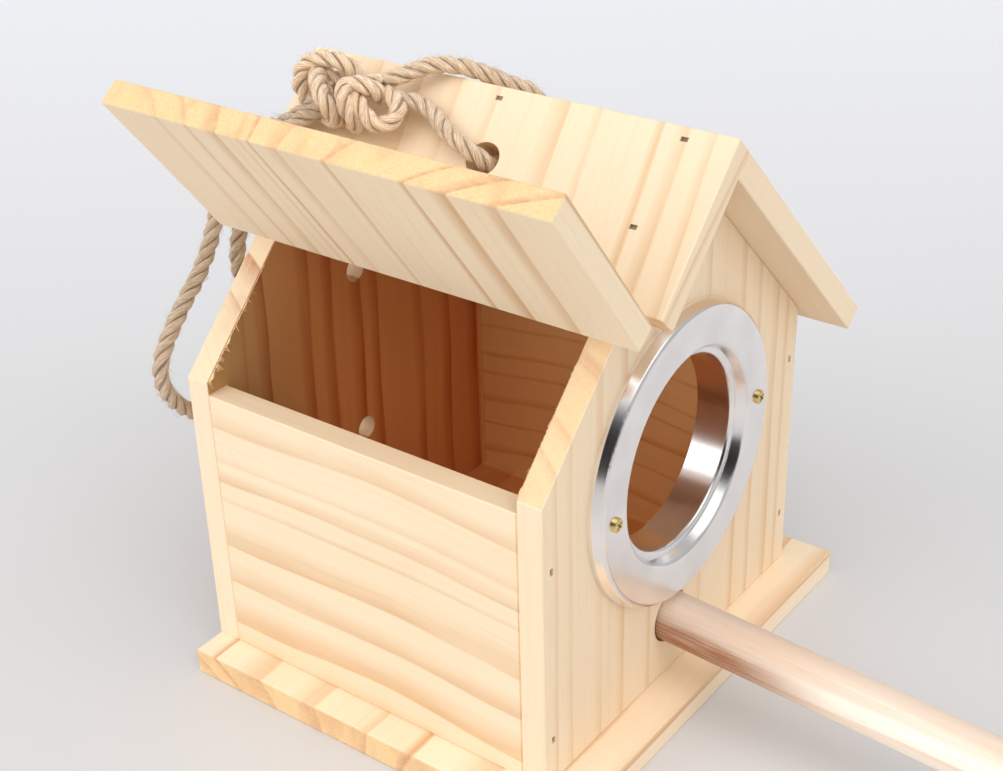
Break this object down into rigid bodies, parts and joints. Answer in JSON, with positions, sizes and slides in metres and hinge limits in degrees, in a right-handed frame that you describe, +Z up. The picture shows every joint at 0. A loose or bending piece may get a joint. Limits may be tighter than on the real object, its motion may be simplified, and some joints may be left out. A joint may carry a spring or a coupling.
{
  "type": "birdhouse",
  "caption": "Small gabled pine birdhouse with a hinged roof lid, a round entrance with a metal ring, a perch dowel and a knotted jute hanging rope.",
  "frame": {"origin": "middle of the four walls' footprint, on the underside of the base board", "axes": "+Z up, -Y out of the entrance (the front), X across the gables, the ridge along Y, the lid on the -X slope"},
  "size_m": [0.1426, 0.2297, 0.1681],
  "materials": {
    "pine_boards": "sanded, unfinished pale pine",
    "perch_wood": "sanded, unfinished reddish-beige dowel",
    "ring_metal": "satin pressed sheet metal",
    "brass_screws": "bright brass",
    "hinge_steel": "zinc-plated steel",
    "steel_fasteners": "plain steel, slightly dull",
    "jute_rope": "three-strand natural jute, fuzzy"
  },
  "bodies": {
    "house": {"base_board": "pine_boards", "front_gable_panel": "pine_boards", "back_gable_panel": "pine_boards", "left_side_wall": "pine_boards", "right_side_wall": "pine_boards", "left_roof_board": "pine_boards", "right_roof_board": "pine_boards", "entrance_ring": "ring_metal", "ring_screws": "brass_screws", "perch_dowel": "perch_wood", "perch_screw": "steel_fasteners", "front_hinge_roof_leaf": "hinge_steel", "front_hinge_pin": "steel_fasteners", "rear_hinge_roof_leaf": "hinge_steel", "rear_hinge_pin": "steel_fasteners", "hinge_roof_screws": "steel_fasteners", "front_panel_brads": "steel_fasteners", "back_panel_brads": "steel_fasteners", "left_roof_brads": "steel_fasteners", "right_roof_brads": "steel_fasteners", "base_brads": "steel_fasteners", "rope_left_leg": "jute_rope", "rope_right_leg": "jute_rope", "rope_hanging_loop": "jute_rope", "rope_crown_knot": "jute_rope", "rope_left_stopper_knot": "jute_rope", "rope_right_stopper_knot": "jute_rope"},
    "lid": {"roof_lid": "pine_boards", "front_hinge_lid_leaf": "hinge_steel", "rear_hinge_lid_leaf": "hinge_steel", "hinge_lid_screws": "steel_fasteners"}
  },
  "joints": [
    {"name": "lid_hinge", "type": "hinge", "parent": "house", "child": "lid", "pos_m": [-0.03345, 0, 0.12665], "axis": [0, 1, 0], "range_deg": [-97.5, 50.5]}
  ]
}
